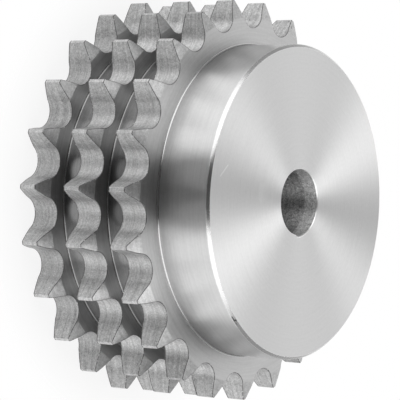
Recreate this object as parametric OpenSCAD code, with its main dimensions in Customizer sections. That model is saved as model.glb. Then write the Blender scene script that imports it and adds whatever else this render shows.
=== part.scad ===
// Triple-row roller chain sprocket with a hub on one side.
// Turned and hobbed from one piece of steel. It stands on its flat toothed end,
// hub end up. The axis of the bore is +Z, and one tooth points along +X.
// All lengths are in millimetres, all angles in degrees.

/* [Chain] */
// Pitch of the chain, from pin to pin
chain_pitch = 15.875; // [15.5:0.005:18]
// Diameter of the chain's rollers
roller_d = 10.16; // [8:0.01:10.5]
// Depth of the chain's link plates
plate_depth = 14.7; // [12:0.1:18]
// Distance between the middles of neighbouring rows
row_pitch = 16.59; // [13:0.01:24]

/* [Teeth] */
// Number of teeth
teeth = 23; // [23:1:40]
// Number of rows
rows = 3; // [1:1:4]
// Width of a row of teeth
tooth_width = 8.8; // [5:0.1:12]
// Height of the tips above the pitch circle
tip_height = 3.4; // [2:0.05:3.6]
// Play between a roller and the seat that it lies in
seat_clearance = 0.1; // [0:0.01:0.3]
// Angle that the seat spans, seen from the roller
seat_angle = 126; // [118:1:136]
// Radius of the flanks of the teeth
flank_r = 40; // [30:1:80]
// How far the side bevel of a row reaches down from the tips
bevel_height = 5.6; // [2:0.1:7]
// How much the side bevel takes off the width at the tips, on each side
bevel_width = 1.5; // [0.5:0.1:2.2]

/* [Grooves between the rows] */
// Clearance between the link plates and the floor of a groove
plate_clearance = 0.9; // [0.5:0.1:3]
// Radius in the corners of a groove
groove_fillet = 0.5; // [0.2:0.1:1.5]

/* [Hub] */
// Diameter of the hub
hub_d = 95.5; // [60:0.5:98]
// Height of the hub above the last row
hub_height = 18; // [6:0.5:60]
// Chamfer round the end of the hub
hub_chamfer = 0.8; // [0.3:0.1:3]
// Radius where the hub meets the last row
hub_fillet = 0.5; // [0.2:0.1:1.5]

/* [Bore] */
// Diameter of the pilot bore
bore_d = 20; // [8:0.5:50]
// Edge break at both mouths of the bore
bore_chamfer = 0.3; // [0.1:0.1:2]

/* [Hidden] */
$fn = 180;

// How far a cutter passes the faces that it cuts
overcut = 1;
// How far a flank dips into its seat, so that the two arcs meet at a crossing
blend = 0.004;
// Angle by which a gap's cutter turns into the tooth, behind the flank
flare = 20;

pitch_r = chain_pitch / sin(180 / teeth) / 2;
tip_r = pitch_r + tip_height;
bevel_r = tip_r - bevel_height;
floor_r = pitch_r - plate_depth / 2 - plate_clearance;
seat_r = roller_d / 2 + seat_clearance;
hub_r = hub_d / 2;
bore_r = bore_d / 2;
toothed_width = (rows - 1) * row_pitch + tooth_width;

function row_middle(row) = tooth_width / 2 + row * row_pitch;

// Direction from a roller's middle to either end of its seat
function seat_end(side) = [-cos(seat_angle / 2), side * sin(seat_angle / 2)];

// Direction from either end of a seat out past the tip, behind the flank
function flank_way(side) = [sin(seat_angle / 2 - flare), side * cos(seat_angle / 2 - flare)];

// Fills the inside corner at the origin with a fillet, towards +X and up or down
module inside_fillet(radius, up) {
    difference() {
        translate([0, up > 0 ? 0 : -radius]) square(radius);
        translate([radius, up * radius]) circle(radius);
    }
}

// Half section of the core, from the bore out to the floor of the grooves
module core_section() {
    mouth = bore_r + bore_chamfer;
    polygon([
        [mouth, 0],
        [floor_r, 0],
        [floor_r, toothed_width],
        [bore_r, toothed_width],
        [bore_r, bore_chamfer],
    ]);
}

// Half section of one row of teeth, bevelled on both sides towards the tips
module row_section() {
    half = tooth_width / 2;
    land = half - bevel_width;
    polygon([
        [bore_r + bore_chamfer, -half],
        [bevel_r, -half],
        [tip_r, -land],
        [tip_r, land],
        [bevel_r, half],
        [bore_r + bore_chamfer, half],
    ]);
}

// Half section of the hub, standing on the last row
module hub_section() {
    polygon([
        [bore_r, 0],
        [hub_r, 0],
        [hub_r, hub_height - hub_chamfer],
        [hub_r - hub_chamfer, hub_height],
        [bore_r + bore_chamfer, hub_height],
        [bore_r, hub_height - bore_chamfer],
    ]);
}

// Half section of the whole turned blank
module blank_section() {
    core_section();
    for (row = [0 : rows - 1]) {
        translate([0, row_middle(row)]) row_section();
        if (row > 0)
            translate([floor_r, row_middle(row) - tooth_width / 2]) inside_fillet(groove_fillet, -1);
        if (row < rows - 1)
            translate([floor_r, row_middle(row) + tooth_width / 2]) inside_fillet(groove_fillet, 1);
    }
    translate([0, toothed_width]) hub_section();
    translate([hub_r, toothed_width]) inside_fillet(hub_fillet, 1);
}

// Outline of the gap between two teeth, with its roller's middle on +X.
// The seat is the arc that the roller lies in. The flanks are the rounded sides
// of the teeth, and they run from the ends of the seat out past the tips.
module tooth_gap() {
    reach = 2 * (tip_height + overcut);
    translate([pitch_r, 0]) {
        circle(seat_r);
        difference() {
            polygon([
                [0, 0],
                seat_r * seat_end(1),
                seat_r * seat_end(1) + reach * flank_way(1),
                seat_r * seat_end(-1) + reach * flank_way(-1),
                seat_r * seat_end(-1),
            ]);
            for (side = [-1, 1])
                translate((seat_r + flank_r - blend) * seat_end(side)) circle(flank_r);
        }
    }
}

module sprocket() {
    color("silver")
    difference() {
        rotate_extrude() blank_section();
        for (gap = [0 : teeth - 1])
            rotate((gap + 0.5) * 360 / teeth)
                translate([0, 0, -overcut])
                    linear_extrude(toothed_width + 2 * overcut) tooth_gap();
    }
}

sprocket();
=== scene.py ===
"""Triple-row roller chain sprocket, turned and hobbed from one piece of bare steel.

The sprocket stands on its flat toothed end, hub end up, with its bore along +Z and one
tooth along +X. One Geometry Nodes tree makes its whole form from named sizes, and one
steel material gives each of its machined zones its own tool marks.
"""

import math

import bpy
from mathutils import Matrix, Vector


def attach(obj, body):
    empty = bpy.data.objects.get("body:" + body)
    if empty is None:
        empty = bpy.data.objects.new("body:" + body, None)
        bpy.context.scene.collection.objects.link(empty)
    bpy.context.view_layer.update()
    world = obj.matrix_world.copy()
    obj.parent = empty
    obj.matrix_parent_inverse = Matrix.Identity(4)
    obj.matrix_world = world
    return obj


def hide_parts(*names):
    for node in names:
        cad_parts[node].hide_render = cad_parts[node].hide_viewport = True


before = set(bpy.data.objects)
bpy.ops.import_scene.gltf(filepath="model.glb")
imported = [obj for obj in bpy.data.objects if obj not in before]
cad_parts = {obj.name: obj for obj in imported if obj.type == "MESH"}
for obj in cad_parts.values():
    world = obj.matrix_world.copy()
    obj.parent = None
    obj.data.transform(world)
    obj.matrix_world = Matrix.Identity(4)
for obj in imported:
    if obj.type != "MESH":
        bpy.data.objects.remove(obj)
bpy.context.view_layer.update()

MM = 0.001
WHITE = (1.0, 1.0, 1.0, 1.0)
DIAGONAL = math.sqrt(0.5)

# Sizes of the sprocket, as in the part's source, then those of its edges and of its nick
TEETH = 23
ROWS = 3
CHAIN_PITCH, ROLLER_D, PLATE_DEPTH = 15.875, 10.16, 14.7
SEAT_CLEARANCE, PLATE_CLEARANCE = 0.1, 0.9
PITCH_R = CHAIN_PITCH / math.sin(math.pi / TEETH) / 2
SIZES = {
    "Pitch radius": PITCH_R * MM,
    "Tip height": 3.4 * MM,
    "Seat radius": (ROLLER_D / 2 + SEAT_CLEARANCE) * MM,
    "Seat angle": math.radians(126),
    "Flank radius": 40 * MM,
    "Row pitch": 16.59 * MM,
    "Row width": 8.8 * MM,
    "Bevel height": 5.6 * MM,
    "Bevel width": 1.5 * MM,
    "Floor radius": (PITCH_R - PLATE_DEPTH / 2 - PLATE_CLEARANCE) * MM,
    "Groove fillet": 0.5 * MM,
    "Hub radius": 47.75 * MM,
    "Hub height": 18 * MM,
    "Hub chamfer": 0.8 * MM,
    "Hub fillet": 0.5 * MM,
    "Bore radius": 10 * MM,
    "Bore chamfer": 0.3 * MM,
    "Tip corner": 0.25 * MM,
    "Edge break": 0.16 * MM,
    "Nick depth": 0.6 * MM,
    "Nick place": math.radians(-99),
}

# How finely the form is made: steps along the seat, flank and tip corner, parts of a fillet
SEAT_STEPS, FLANK_STEPS, CORNER_STEPS = 9, 5, 4
FILLET_PARTS = 4
# Points closer than this become one
WELD = 0.0005 * MM
# Strip below the teeth's lower edges that is darkened as painted shade
SHADED_RIM_WIDTH = 0.2 * MM
# Depth of the ring that sets off the bore's upper end
LIP_DEPTH = 2.5 * MM
# Degrees over which the nick rises and runs out, and the share of its depth just below the rim
NICK_RISE, NICK_RUN_OUT, NICK_FOOT = 4, 30, 0.75

# Machined zones, as the form stores them on its faces and the steel reads them
(
    BORE,
    MOUTH,
    END_FACE,
    HUB_CHAMFER,
    HUB_SIDE,
    FILLET,
    ROW_SIDE,
    BEVEL,
    EDGE,
    # A dark strip along the rims of the tooth walls: painted shade, with painted glints
    SHADED_RIM,
    GAP,
    LAND,
    GROOVE,
) = ZONES = range(13)

# Finish of the zones: what is usual, and the zones that differ from it
TONE = 0.68, {
    BORE: 0.45,
    MOUTH: 0.9,
    # The rows' side faces and the grooves are darker, as painted shade in the grooves
    ROW_SIDE: 0.48,
    GROOVE: 0.38,
    FILLET: 0.52,
    BEVEL: 0.54,
    GAP: 0.62,
    LAND: 0.63,
    EDGE: 0.8,
    # The rims of the tooth walls are dark as painted shade
    SHADED_RIM: 0.18,
}
ROUGHNESS = 0.33, {
    END_FACE: 0.46,
    HUB_SIDE: 0.34,
    HUB_CHAMFER: 0.26,
    FILLET: 0.16,
    GROOVE: 0.22,
    BEVEL: 0.44,
    EDGE: 0.4,
    SHADED_RIM: 0.5,
    BORE: 0.54,
    MOUTH: 0.36,
}
HOBBED_ROUGHNESS = 0.64
# How strongly a turned and a hobbed face draw a reflection out across their tool marks
TURNED_STRETCH, HOBBED_STRETCH = 0.88, 0.4
# Depth of tone in the tool marks, in blotches about a millimetre wide, and in small pits
LINES = 0.16, {ROW_SIDE: 0.2, BEVEL: 0.3, GAP: 0.5, LAND: 0.3, END_FACE: 0.11, BORE: 0.3}
BLOTCHES = 0.10, {BEVEL: 0.4, GAP: 0.3, LAND: 0.5, BORE: 0.8, EDGE: 0.4}
PITS = 0.0, {GAP: 0.6, LAND: 0.6, BEVEL: 0.35, BORE: 1.0}

# Marks of handling: start and end in millimetres, width, and how much darker the steel is there
MARKS = (
    # A scratch and a pale patch on the hub's end face
    ((-37.3, 14.0, 60.0), (-41.2, 11.2, 60.0), 0.3, -0.16),
    ((-20.2, 5.9, 60.0), (-20.6, 3.1, 60.0), 2.4, -0.04),
    # Three short lines, one after another, on the hub's chamfer
    ((-36.6, -30.2, 59.4), (-35.4, -31.6, 59.5), 0.3, 0.5),
    ((-35.0, -31.6, 59.8), (-35.4, -31.3, 59.8), 0.35, 0.45),
    ((-34.9, -32.1, 59.5), (-34.3, -32.8, 59.5), 0.25, 0.3),
    # A scratch on one tooth and a smear on another
    ((27.1, 54.5, 39.9), (26.3, 52.4, 41.3), 0.35, 0.4),
    ((-21.6, -53.2, 34.6), (-21.3, -57.4, 34.6), 0.7, 0.12),
)

# Light tent, each panel laid over those before it: whether it stands on both sides, then its
# turn to the right of the photograph's view and its rise above it, each as low end, high end
# and soft edge in degrees, and its brightness
TENT_LEVEL = 0.36
TENT = (
    # Back wall, and the side walls with the middle of the back wall
    (True, (140, 400, 15), (-60, 60, 8), 0.55),
    (True, (88, 400, 14), (-24, 24, 10), 1.12),
    # Upper and lower walls, with a softbox in each
    (False, (-150, 68, 10), (28, 120, 4), 1.15),
    (False, (-135, 54, 10), (-120, -12, 4), 1.05),
    (False, (-20, 66, 20), (23, 62, 4), 1.85),
    (False, (-20, 56, 16), (-57, -10, 4), 1.7),
    # Lower and upper lamp on the right, with a dark card between them
    (False, (58, 90, 8), (-25, -7, 4), 2.6),
    (False, (68, 92, 6), (7, 22, 4), 1.7),
    (False, (56, 84, 4), (-8, 11, 3), 0.26),
    # Dark card on the left, and the tent's open front
    (False, (-87, -30, 6), (-17, 28, 4), 0.22),
    (False, (-48, 52, 10), (-15, 22, 3), 0.07),
)

# The photograph's view of the sprocket: angles in degrees, aim in millimetres, lens, distance
AZIMUTH, ELEVATION, ROLL = -96.1541, 35.7217, 91.9574
AIM = (-3.4572, -0.0094, 25.2218)
LENS, DISTANCE = 186.812, 0.6462407

FLOOR_R, FLOOR_SIDES = 0.1, 96


class Wire:
    """An output socket. Arithmetic on it adds Math nodes to its tree."""

    def __init__(self, net, socket):
        self.net, self.socket = net, socket

    def __add__(self, other):
        return self.net.math("ADD", self, other)

    def __sub__(self, other):
        return self.net.math("SUBTRACT", self, other)

    def __mul__(self, other):
        return self.net.math("MULTIPLY", self, other)

    def __truediv__(self, other):
        return self.net.math("DIVIDE", self, other)

    def __gt__(self, other):
        return self.net.math("GREATER_THAN", self, other)

    def __lt__(self, other):
        return self.net.math("LESS_THAN", self, other)

    def __radd__(self, other):
        return self.net.math("ADD", other, self)

    def __rsub__(self, other):
        return self.net.math("SUBTRACT", other, self)

    def __rmul__(self, other):
        return self.net.math("MULTIPLY", other, self)

    def __rtruediv__(self, other):
        return self.net.math("DIVIDE", other, self)

    def __neg__(self):
        return self.net.math("MULTIPLY", self, -1.0)

    def __abs__(self):
        return self.net.math("ABSOLUTE", self)


class Net:
    """A node tree under construction."""

    def __init__(self, tree):
        self.tree = tree

    def node(self, kind, settings=None, inputs=None, out=0):
        """Adds a node: first its settings, then the values or wires of its inputs.

        Gives one of its outputs, by number or name.
        """
        node = self.tree.nodes.new(kind)
        for name, value in (settings or {}).items():
            if name == "cases":
                while len(node.index_switch_items) < value:
                    node.index_switch_items.new()
            else:
                setattr(node, name, value)
        for key, value in (inputs or {}).items():
            self.feed(node.inputs[key], value)
        return Wire(self, node.outputs[out]) if node.outputs else None

    def feed(self, socket, value):
        if isinstance(value, Wire):
            self.tree.links.new(value.socket, socket)
        else:
            socket.default_value = value

    def math(self, operation, *values):
        return self.node("ShaderNodeMath", {"operation": operation}, dict(enumerate(values)))

    def length(self, *parts):
        return self.math("SQRT", sum(part * part for part in parts))

    def clamped(self, value):
        """The value, held between 0 and 1."""
        return self.node("ShaderNodeClamp", None, {0: value})

    def smooth(self, value, low, high):
        """0 up to the low value, 1 from the high one, and smoothly from one to the other."""
        return self.node(
            "ShaderNodeMapRange",
            {"interpolation_type": "SMOOTHSTEP"},
            {"Value": value, "From Min": low, "From Max": high},
        )

    def noise(self, vector, scale, detail):
        return self.node(
            "ShaderNodeTexNoise",
            {"noise_dimensions": "3D"},
            {"Vector": vector, "Scale": scale, "Detail": detail, "Roughness": 0.6},
        )

    def point(self, x, y, z):
        return self.node("ShaderNodeCombineXYZ", None, {0: x, 1: y, 2: z})

    def split(self, vector):
        """The three parts of a vector."""
        node = self.tree.nodes.new("ShaderNodeSeparateXYZ")
        self.feed(node.inputs[0], vector)
        return [Wire(self, part) for part in node.outputs]

    def dot(self, one, other):
        return self.node(
            "ShaderNodeVectorMath", {"operation": "DOT_PRODUCT"}, {0: one, 1: other}, "Value"
        )

    def pick(self, index, choices):
        """The choice with that index."""
        inputs = {0: index} | {i + 1: choice for i, choice in enumerate(choices)}
        settings = {"data_type": "FLOAT", "cases": len(choices)}
        return self.node("GeometryNodeIndexSwitch", settings, inputs)

    def stored(self, geometry, name, value, kind, domain):
        """The geometry with the value stored on it under that name."""
        return self.node(
            "GeometryNodeStoreNamedAttribute",
            {"data_type": kind, "domain": domain},
            {"Geometry": geometry, "Name": name, "Value": value},
        )

    def is_ray(self, *kinds):
        """1 for rays of any of these kinds."""
        path = self.tree.nodes.new("ShaderNodeLightPath")
        found = Wire(self, path.outputs[kinds[0]])
        for kind in kinds[1:]:
            found = self.math("MAXIMUM", found, Wire(self, path.outputs[kind]))
        return found


def shader_net(block):
    """The emptied shader tree of a material or world."""
    block.use_nodes = True
    block.node_tree.nodes.clear()
    return Net(block.node_tree)


def turned_section(size):
    """Stations along the sprocket's section, and the numbers of those that are creases.

    They run from the bore over the hub and down the rows of teeth. Each is a tuple:
    - the radius of a plain ring, or 0 for a station on the teeth's outline, or minus the
      radius that such a station keeps within
    - the height, on the outline before the row's width is added
    - the side of the row's middle that it lies on: 1 above, -1 below, 0 for a ring
    - how far it is set in from the outline
    - the zone of the strip that follows it
    """
    stations, creases = [], []

    def ring(radius, height, zone):
        stations.append((radius, height, 0.0, 0.0, zone))

    def on_outline(middle, side, inset, drop, zone, keeps_within=0.0):
        stations.append((-keeps_within, middle - side * drop, side, inset, zone))

    def inside_fillet(wall_r, face, fillet, up, parts, zone):
        """Rings of a fillet between a wall and a face, up or down from the face."""
        for part in parts:
            turn = math.radians(part * 90 / FILLET_PARTS)
            off_wall, off_face = 1 - math.cos(turn), 1 - math.sin(turn)
            ring(wall_r + fillet * off_wall, face + fillet * (up * off_face), zone)

    half_width = size["Row width"] * 0.5
    toothed = (ROWS - 1) * size["Row pitch"] + size["Row width"]
    total = toothed + size["Hub height"]
    bore_r, mouth = size["Bore radius"], size["Bore chamfer"]
    hub_r, chamfer, hub_fillet = size["Hub radius"], size["Hub chamfer"], size["Hub fillet"]
    floor_r, fillet = size["Floor radius"], size["Groove fillet"]
    bevel_r = size["Pitch radius"] + size["Tip height"] - size["Bevel height"]
    edge = size["Edge break"]
    rim = [(edge, 0.0), (edge * (1 - DIAGONAL), edge * (1 - DIAGONAL)), (0.0, edge)]

    ring(bore_r, mouth, BORE)
    ring(bore_r, total - mouth - LIP_DEPTH, BORE)
    ring(bore_r, total - mouth, MOUTH)
    ring(bore_r + mouth, total, END_FACE)

    # Both edges of the hub's chamfer are rounded, and these are the shares of a round's length
    # by which its middle lies off the corner, along the face and across it
    along, across = 0.08, 0.18
    fine = edge * 0.5
    ring(hub_r - chamfer - fine, total, HUB_CHAMFER)
    ring(hub_r - chamfer - fine * along, total - fine * across, HUB_CHAMFER)
    ring(hub_r - chamfer + fine * DIAGONAL, total - fine * DIAGONAL, HUB_CHAMFER)
    ring(hub_r - edge * DIAGONAL, total - chamfer + edge * DIAGONAL, EDGE)
    ring(hub_r - edge * across, total - chamfer - edge * along, EDGE)
    ring(hub_r, total - chamfer - edge, HUB_SIDE)
    inside_fillet(hub_r, toothed, hub_fillet, 1, range(FILLET_PARTS), FILLET)

    for row in reversed(range(ROWS)):
        middle = half_width + row * size["Row pitch"]
        top, bottom = middle + half_width, middle - half_width
        ring(hub_r + hub_fillet if row == ROWS - 1 else floor_r + fillet, top, ROW_SIDE)
        creases.append(len(stations))
        on_outline(middle, 1, edge, 0.0, BEVEL, bevel_r)
        # The rims of each row's walls, and a strip above the lower rim, take the painted shade
        for (inset, drop), zone in zip(rim, (SHADED_RIM, SHADED_RIM, GAP)):
            on_outline(middle, 1, inset, drop, zone)
        on_outline(middle, -1, 0.0, edge + SHADED_RIM_WIDTH, SHADED_RIM)
        for (inset, drop), zone in zip(reversed(rim), (SHADED_RIM, SHADED_RIM, BEVEL)):
            on_outline(middle, -1, inset, drop, zone)
        creases.append(len(stations))
        on_outline(middle, -1, edge, 0.0, ROW_SIDE if row else END_FACE, bevel_r)
        if row:
            below = bottom - size["Row pitch"] + size["Row width"]
            ring(floor_r + fillet, bottom, GROOVE)
            inside_fillet(floor_r, bottom, fillet, -1, reversed(range(FILLET_PARTS)), GROOVE)
            inside_fillet(floor_r, below, fillet, 1, range(FILLET_PARTS), GROOVE)
    ring(bore_r + mouth, 0.0, MOUTH)
    ring(bore_r, mouth, BORE)
    return stations, creases


def with_nick(net, whole, size):
    """The sprocket with a nick in the bore's rim, steep on one side, running out on the other."""
    rim_r = size["Bore radius"] + size["Bore chamfer"]
    total = (ROWS - 1) * size["Row pitch"] + size["Row width"] + size["Hub height"]
    reach, slack = 0.3 * MM, 0.1 * MM
    x, y, z = net.split(net.node("GeometryNodeInputPosition"))
    radius = net.length(x, y)
    past = (net.math("ARCTAN2", y, x) - size["Nick place"]) * (180 / math.pi)
    bite = net.math("MINIMUM", 1 + past / NICK_RISE, 1 - past / NICK_RUN_OUT)
    bite = net.math("MAXIMUM", bite, 0.0)
    at_rim = (radius < rim_r + reach) * (z > total - size["Bore chamfer"] - slack)
    share = NICK_FOOT + (1 - NICK_FOOT) * (z > total - slack)
    push = bite * size["Nick depth"] * share / radius
    offset = net.point(x * push, y * push, 0.0)
    return net.node(
        "GeometryNodeSetPosition", None, {"Geometry": whole, "Selection": at_rim, "Offset": offset}
    )


def sprocket_form():
    """A tree that makes the sprocket as one closed mesh.

    One tooth's pitch is a grid. Its columns follow the outline of a gap, from the middle of
    one tip to the middle of the next. Its rows follow the turned section. The pitch is then
    repeated round the axis.
    """
    tree = bpy.data.node_groups.new("sprocket form", "GeometryNodeTree")
    tree.interface.new_socket("Geometry", in_out="OUTPUT", socket_type="NodeSocketGeometry")
    tree.interface.new_socket("Teeth", in_out="INPUT", socket_type="NodeSocketInt")
    for name in SIZES:
        tree.interface.new_socket(name, in_out="INPUT", socket_type="NodeSocketFloat")
    tree.interface.new_socket("Material", in_out="INPUT", socket_type="NodeSocketMaterial")
    net = Net(tree)
    entry = tree.nodes.new("NodeGroupInput")
    size = {s.name: Wire(net, s) for s in entry.outputs if s.name}

    # The four arcs of half a gap's outline: seat, flank, tip corner and tip land
    pitch_r, seat_r, flank_r = size["Pitch radius"], size["Seat radius"], size["Flank radius"]
    tip_r, corner_r = pitch_r + size["Tip height"], size["Tip corner"]
    half_seat = size["Seat angle"] * 0.5
    half_pitch = math.pi / size["Teeth"]
    flank_x = pitch_r - (seat_r + flank_r) * net.math("COSINE", half_seat)
    flank_y = (seat_r + flank_r) * net.math("SINE", half_seat)
    flank_far = net.length(flank_x, flank_y)
    flank_turn = net.math("ARCTAN2", flank_y, flank_x)
    corner_far = tip_r - corner_r
    reach = flank_r - corner_r
    cosine = flank_far * flank_far + corner_far * corner_far - reach * reach
    cosine = cosine / (2 * flank_far * corner_far)
    corner_turn = flank_turn - net.math("ARCCOSINE", cosine)
    corner_x = corner_far * net.math("COSINE", corner_turn)
    corner_y = corner_far * net.math("SINE", corner_turn)
    flank_end = net.math("ARCTAN2", corner_y - flank_y, corner_x - flank_x)

    # The grid, and which column and station each of its corners is
    stations, creases = turned_section(size)
    rings, heights, sides, insets, zones = zip(*stations)
    corner_at_step = SEAT_STEPS + FLANK_STEPS
    land_at_step = corner_at_step + CORNER_STEPS
    columns = 2 * (land_at_step + 1) + 1
    count = len(stations)
    grid = net.node(
        "GeometryNodeMeshGrid",
        None,
        {0: float(columns - 1), 1: float(count - 1), 2: columns, 3: count},
    )
    along, down, _ = net.split(net.node("GeometryNodeInputPosition"))
    sign = net.math("SIGN", along)
    step = net.math("ROUND", abs(along))
    station = net.math("ROUND", down + (count - 1) / 2)
    strip = net.math("FLOOR", down + (count - 1) / 2)

    def share(first, steps):
        """How far a column is along one arc, from 0 to 1."""
        return net.clamped((step - first) / steps)

    along_seat, along_flank = share(0, SEAT_STEPS), share(SEAT_STEPS, FLANK_STEPS)
    seat_at = half_seat * along_seat
    flank_at = flank_end * along_flank - half_seat * (1 - along_flank)
    corner_at = flank_end + (corner_turn - flank_end) * share(corner_at_step, CORNER_STEPS)
    land_at = corner_turn + (half_pitch - corner_turn) * share(land_at_step, 1)
    arc = sum(step > end + 0.5 for end in (SEAT_STEPS, corner_at_step, land_at_step))
    angle = net.pick(arc, [math.pi - seat_at, flank_at, corner_at, land_at])
    centre_x = net.pick(arc, [pitch_r, flank_x, corner_x, 0.0])
    centre_y = net.pick(arc, [0.0, flank_y, corner_y, 0.0])
    radius = net.pick(arc, [seat_r, flank_r, corner_r, tip_r])
    inward = net.pick(arc, [1.0, -1.0, -1.0, -1.0])

    def outline_point(offset):
        """Radius and polar angle of the outline's point, moved into the metal by an offset."""
        far = radius + inward * offset
        x = centre_x + far * net.math("COSINE", angle)
        y = (centre_y + far * net.math("SINE", angle)) * sign
        return net.length(x, y), net.math("ARCTAN2", y, x)

    # Where each corner of the grid goes, as radius, angle and height
    ring_r, height = net.pick(station, rings), net.pick(station, heights)
    side, inset = net.pick(station, sides), net.pick(station, insets)
    wall_r, wall_turn = outline_point(inset)
    face_r, face_turn = outline_point(size["Edge break"])
    within = net.math("MINIMUM", wall_r, -ring_r)
    final_r = wall_r + (within - wall_r) * (ring_r < 0.0)
    on_ring = ring_r > 0.0
    final_r = final_r + (ring_r - final_r) * on_ring
    final_turn = wall_turn + (face_turn - wall_turn) * on_ring
    bevel_r = tip_r - size["Bevel height"]
    slope = size["Bevel width"] / size["Bevel height"]
    bevelled = size["Row width"] * 0.5 - slope * net.math("MAXIMUM", final_r - bevel_r, 0.0)
    final_x = final_r * net.math("COSINE", final_turn)
    final_y = final_r * net.math("SINE", final_turn)
    place = net.point(final_x, final_y, height + side * bevelled)

    # The lands are the part of a gap's strip that lies on the tips
    zone = net.pick(strip, [float(which) for which in zones])
    zone = zone + (step > land_at_step - 0.5) * (abs(zone - GAP) < 0.5) * (LAND - GAP)
    # A bevel's foot is a crease where the bevel is there at all
    is_crease = sum(abs(station - which) < 0.5 for which in creases)
    is_crease = is_crease * (face_r > bevel_r + 0.02 * MM)

    # All is stored while the grid is flat, then its corners go to their places
    whole = net.stored(grid, "zone", zone, "FLOAT", "FACE")
    whole = net.stored(whole, "crease", is_crease, "BOOLEAN", "POINT")
    whole = net.stored(whole, "profile", along_seat + along_flank, "FLOAT", "POINT")
    whole = net.node("GeometryNodeSetPosition", None, {"Geometry": whole, "Position": place})
    whole = net.node("GeometryNodeMergeByDistance", None, {"Geometry": whole, "Distance": WELD})

    # One pitch becomes the whole sprocket
    centres = net.node(
        "GeometryNodeMeshLine", None, {"Count": size["Teeth"], "Offset": (0.0, 0.0, 0.0)}
    )
    turn = (net.node("GeometryNodeInputIndex") + 0.5) * 2 * half_pitch
    whole = net.node(
        "GeometryNodeInstanceOnPoints",
        None,
        {"Points": centres, "Instance": whole, "Rotation": net.point(0.0, 0.0, turn)},
    )
    whole = net.node("GeometryNodeRealizeInstances", None, {0: whole})
    whole = net.node("GeometryNodeMergeByDistance", None, {"Geometry": whole, "Distance": WELD})
    whole = net.node("GeometryNodeFlipFaces", None, {"Mesh": whole})
    whole = with_nick(net, whole, size)
    whole = net.node("GeometryNodeSetShadeSmooth", None, {"Geometry": whole, "Shade Smooth": True})
    crease = net.node(
        "GeometryNodeInputNamedAttribute", {"data_type": "BOOLEAN"}, {"Name": "crease"}
    )
    whole = net.stored(whole, "sharp_edge", crease, "BOOLEAN", "EDGE")
    whole = net.node("GeometryNodeRemoveAttribute", None, {"Geometry": whole, "Name": "crease"})
    whole = net.node(
        "GeometryNodeSetMaterial", None, {"Geometry": whole, "Material": size["Material"]}
    )
    leave = tree.nodes.new("NodeGroupOutput")
    net.feed(leave.inputs[0], whole)
    return tree


def grown(name, tree, values):
    """A plain mesh object with the tree's result, its normals weighted by the faces' areas."""
    seed = bpy.data.objects.new(name + " seed", bpy.data.meshes.new(name + " seed"))
    bpy.context.scene.collection.objects.link(seed)
    maker = seed.modifiers.new("form", "NODES")
    maker.node_group = tree
    for item in tree.interface.items_tree:
        if item.in_out == "INPUT" and item.name in values:
            maker[item.identifier] = values[item.name]
    normals = seed.modifiers.new("normals", "WEIGHTED_NORMAL")
    normals.weight, normals.keep_sharp = 50, True
    graph = bpy.context.evaluated_depsgraph_get()
    mesh = bpy.data.meshes.new_from_object(
        seed.evaluated_get(graph), preserve_all_data_layers=True, depsgraph=graph
    )
    bpy.data.objects.remove(seed)
    mesh.name = name
    piece = bpy.data.objects.new(name, mesh)
    bpy.context.scene.collection.objects.link(piece)
    return piece


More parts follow.
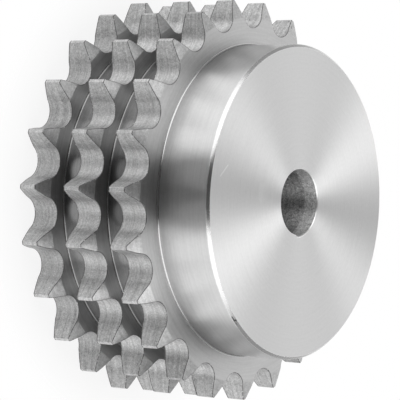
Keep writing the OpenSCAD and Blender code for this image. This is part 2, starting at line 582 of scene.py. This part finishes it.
def steel():
    """Bare steel: turned all over, with the gaps between the teeth hobbed through. Some of its tone
    is painted shade and painted light.
    """
    material = bpy.data.materials.new("machined steel")
    net = shader_net(material)
    place = net.node("ShaderNodeTexCoord", None, None, "Object")
    x, y, z = net.split(place)
    radius = net.length(x, y)
    zone = net.node("ShaderNodeAttribute", {"attribute_name": "zone"}, None, "Fac")
    # 0 in the middle of a seat, 1 where it meets the flank, 2 at the flank's end
    profile = net.node("ShaderNodeAttribute", {"attribute_name": "profile"}, None, "Fac")
    on = [abs(zone - which) < 0.5 for which in ZONES]

    def by_zone(usual, special):
        return usual + sum(on[which] * (value - usual) for which, value in special.items())

    def within_mm(value, low, high):
        return net.smooth(value, low * MM, high * MM)

    def stroke(start, end, width):
        """1 along a short line on the surface, in millimetres, fading to 0 over its width."""
        way = [(b - a) * MM for a, b in zip(start, end)]
        off = [value - a * MM for value, a in zip((x, y, z), start)]
        along = sum(o * w for o, w in zip(off, way)) / sum(w * w for w in way)
        along = net.clamped(along)
        gaps = [o - along * w for o, w in zip(off, way)]
        return 1 - within_mm(net.length(*gaps), width * 0.3, width)

    # Tool marks run round the axis, and on hobbed faces along the teeth's outline
    hobbed = on[GAP] + on[LAND]
    across = (z + radius * (1 - hobbed)) * 1500.0
    lines = net.noise(net.point(across, x / radius * 3.0, y / radius * 3.0), 1.0, 3.0)
    blotches = net.noise(place, 1000.0, 4.0)
    pits = net.noise(place, 2600.0, 2.0)
    # Bright specks for painted glints on the dark rims
    rim_glints = net.smooth(net.noise(place, 1300.0, 2.0), 0.6, 0.68)

    # Places within a zone: the flanks, the band where a seat meets its flank, the lowest row, the
    # hub's foot and the grooves, darkened as painted shade, and the bore's upper end, lightened as
    # painted light
    flank = net.smooth(profile, 0.35, 1.05)
    seat_end_shade = net.smooth(profile, 0.86, 1.0) * (1 - net.smooth(profile, 1.05, 1.5))
    lowest_row_shade = 1 - within_mm(z, 7, 12)
    # Painted shade on the hub's side near its foot
    hub_foot_shade = on[HUB_SIDE] * (1 - within_mm(z, 42, 49))
    # Painted shade deep in the grooves between the rows
    groove_shade = (on[ROW_SIDE] + on[GROOVE]) * (z < 40 * MM) * (1 - within_mm(radius, 50.5, 57.5))
    # The bore's upper end is lighter, as painted light near its mouth, and rougher
    lit_lip = on[BORE] * within_mm(z, 55.0, 55.6)

    # Painted glints on the dark rims, and painted light at the bore's upper end
    tone = by_zone(*TONE) + on[SHADED_RIM] * rim_glints * 0.5 + lit_lip * 0.16
    # Painted shade: the flanks, the band where a seat meets its flank and the lowest row are darker
    tone = tone - on[GAP] * (flank * 0.05 + seat_end_shade * 0.05 + lowest_row_shade * (0.12 - flank * 0.08))
    # Painted shade at the hub's foot and deep in the grooves
    tone = tone - hub_foot_shade * 0.16 - groove_shade * 0.09
    for start, end, width, darker in MARKS:
        tone = tone - stroke(start, end, width) * darker
    tone = tone + (lines - 0.5) * by_zone(*LINES)
    tone = tone + (blotches - 0.5) * (by_zone(*BLOTCHES) + on[GAP] * flank * 0.2)
    tone = tone + (pits - 0.5) * by_zone(*PITS)
    colour = net.node("ShaderNodeCombineColor", None, {0: tone, 1: tone, 2: tone})
    grain = (lines - 0.5) * 0.10 + (blotches - 0.5) * 0.08
    bump = net.node(
        "ShaderNodeBump", None, {"Strength": 0.25, "Distance": 0.02 * MM, "Height": lines}
    )

    def metal(roughness, stretch):
        return net.node(
            "ShaderNodeBsdfPrincipled",
            None,
            {
                "Base Color": colour,
                "Metallic": 1.0,
                "Roughness": grain + roughness,
                "Anisotropic": stretch,
                "Anisotropic Rotation": 0.25,
                "Normal": bump,
            },
        )

    turned = metal(by_zone(*ROUGHNESS) + lit_lip * 0.3, TURNED_STRETCH)
    both = {0: hobbed, 1: turned, 2: metal(HOBBED_ROUGHNESS, HOBBED_STRETCH)}
    surface = net.node("ShaderNodeMixShader", None, both)
    net.node("ShaderNodeOutputMaterial", None, {"Surface": surface})
    return material


def pale_floor():
    """A pale floor that stays white to the camera, keeps a soft shadow and fades at its rim."""
    material = bpy.data.materials.new("pale floor")
    net = shader_net(material)
    x, y, _ = net.split(net.node("ShaderNodeTexCoord", None, None, "Object"))
    radius = net.length(x, y)
    seen = net.is_ray("Is Camera Ray", "Is Glossy Ray", "Is Transmission Ray")
    glowing = seen * (0.84 + 0.16 * net.smooth(radius, 0.056, 0.08))
    matt = net.node(
        "ShaderNodeBsdfDiffuse", None, {"Color": (0.82, 0.82, 0.82, 1.0), "Roughness": 0.5}
    )
    glow = net.node("ShaderNodeEmission", None, {"Color": WHITE, "Strength": 1.0})
    clear = net.node("ShaderNodeBsdfTransparent", None, {"Color": WHITE})
    both = net.node("ShaderNodeMixShader", None, {0: glowing, 1: matt, 2: glow})
    fade = net.smooth(radius, 0.066, 0.098)
    faded = net.node("ShaderNodeMixShader", None, {0: fade, 1: both, 2: clear})
    net.node("ShaderNodeOutputMaterial", None, {"Surface": faded})
    return material


def studio_world(right, up, back):
    """The light tent, set by the photograph's right, its up and the way back to its camera."""
    world = bpy.data.worlds.new("light tent")
    net = shader_net(world)
    way = net.node("ShaderNodeTexCoord", None, None, "Generated")
    turn = net.math("ARCTAN2", net.dot(way, right), net.dot(way, back))
    rise = net.math("ARCSINE", net.dot(way, up))

    def between(angle, low, high, soft):
        """1 between two angles in degrees, falling to 0 over the soft edge on both sides."""
        low, high, soft = (math.radians(degrees) for degrees in (low, high, soft))
        risen = net.smooth(angle, low - soft, low + soft)
        return risen * net.smooth(angle, high + soft, high - soft)

    level = TENT_LEVEL
    for both_sides, turns, rises, brightness in TENT:
        panel = between(abs(turn) if both_sides else turn, *turns) * between(rise, *rises)
        level = level + (brightness - level) * panel
    seen = net.is_ray("Is Camera Ray", "Is Transmission Ray")
    strength = level + (1.0 - level) * seen
    light = net.node("ShaderNodeBackground", None, {"Color": WHITE, "Strength": strength})
    net.node("ShaderNodeOutputWorld", None, {"Surface": light})
    return world


# Camera at the photograph's view, with the image's right and up and the way back to the camera
azimuth, elevation, roll = (math.radians(degrees) for degrees in (AZIMUTH, ELEVATION, ROLL))
back = Vector(
    (
        math.sin(azimuth) * math.cos(elevation),
        -math.cos(azimuth) * math.cos(elevation),
        math.sin(elevation),
    )
)
level_right = Vector((math.cos(azimuth), math.sin(azimuth), 0.0))
level_up = back.cross(level_right)
right = level_right * math.cos(roll) + level_up * math.sin(roll)
up = back.cross(right)
camera = bpy.data.objects.new("camera", bpy.data.cameras.new("camera"))
camera.data.lens = LENS
camera.data.sensor_width = 36.0
camera.data.clip_start = 0.05
camera.data.clip_end = 20.0
facing = Matrix((right, up, back)).transposed().to_4x4()
camera.matrix_world = Matrix.Translation(Vector(AIM) * MM + back * DISTANCE) @ facing
bpy.context.scene.collection.objects.link(camera)
bpy.context.scene.camera = camera

sprocket = grown(
    "turned_sprocket", sprocket_form(), SIZES | {"Teeth": TEETH, "Material": steel()}
)
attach(sprocket, "root")
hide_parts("sprocket")

floor_mesh = bpy.data.meshes.new("floor")
rim_turns = [2 * math.pi * i / FLOOR_SIDES for i in range(FLOOR_SIDES)]
floor_rim = [(FLOOR_R * math.cos(turn), FLOOR_R * math.sin(turn), 0.0) for turn in rim_turns]
floor_mesh.from_pydata(floor_rim, [], [list(range(FLOOR_SIDES))])
floor = bpy.data.objects.new("floor", floor_mesh)
floor.data.materials.append(pale_floor())
bpy.context.scene.collection.objects.link(floor)

bpy.context.scene.world = studio_world(right, up, back)
bpy.context.scene.view_settings.view_transform = "Standard"
